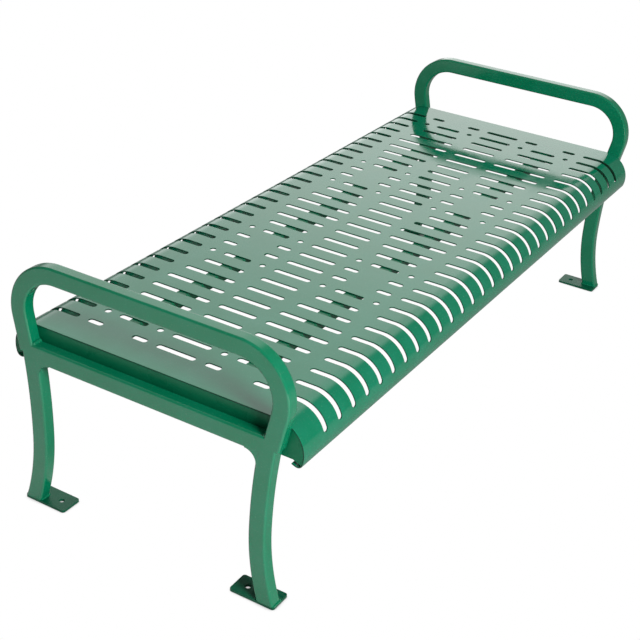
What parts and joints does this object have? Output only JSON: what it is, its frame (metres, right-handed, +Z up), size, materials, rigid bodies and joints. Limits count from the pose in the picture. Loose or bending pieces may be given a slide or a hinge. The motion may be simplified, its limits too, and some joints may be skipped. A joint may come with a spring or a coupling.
{
  "type": "backless bench",
  "caption": "Backless steel park bench: slotted seat with rolled long edges between two tubular end frames with arm hoops, bowed legs and foot plates to bolt down.",
  "frame": {"origin": "on the ground under the middle of the bench, at the centre of its footprint", "axes": "+X along the bench from the left end to the right end, +Y from the front long side to the back, +Z up"},
  "size_m": [1.832, 0.734, 0.604],
  "materials": {
    "green_coat": "gloss",
    "zinc_steel": "satin"
  },
  "bodies": {
    "root": {"seat_panel": "green_coat", "arm_hoop_left": "green_coat", "arm_hoop_right": "green_coat", "hoop_end_caps_left": "green_coat", "hoop_end_caps_right": "green_coat", "leg_front_left": "green_coat", "leg_back_left": "green_coat", "leg_front_right": "green_coat", "leg_back_right": "green_coat", "cross_rail_left": "green_coat", "cross_rail_right": "green_coat", "corner_gussets_left": "green_coat", "corner_gussets_right": "green_coat", "foot_plate_front_left": "green_coat", "foot_plate_back_left": "green_coat", "foot_plate_front_right": "green_coat", "foot_plate_back_right": "green_coat", "seat_end_plate_left": "green_coat", "seat_end_plate_right": "green_coat", "seat_stiffener_front": "green_coat", "seat_stiffener_back": "green_coat", "seat_bolts_left": "zinc_steel", "seat_bolts_right": "zinc_steel", "bolt_washers_left": "zinc_steel", "bolt_washers_right": "zinc_steel", "weld_nuts_left": "zinc_steel", "weld_nuts_right": "zinc_steel"}
  },
  "joints": []
}
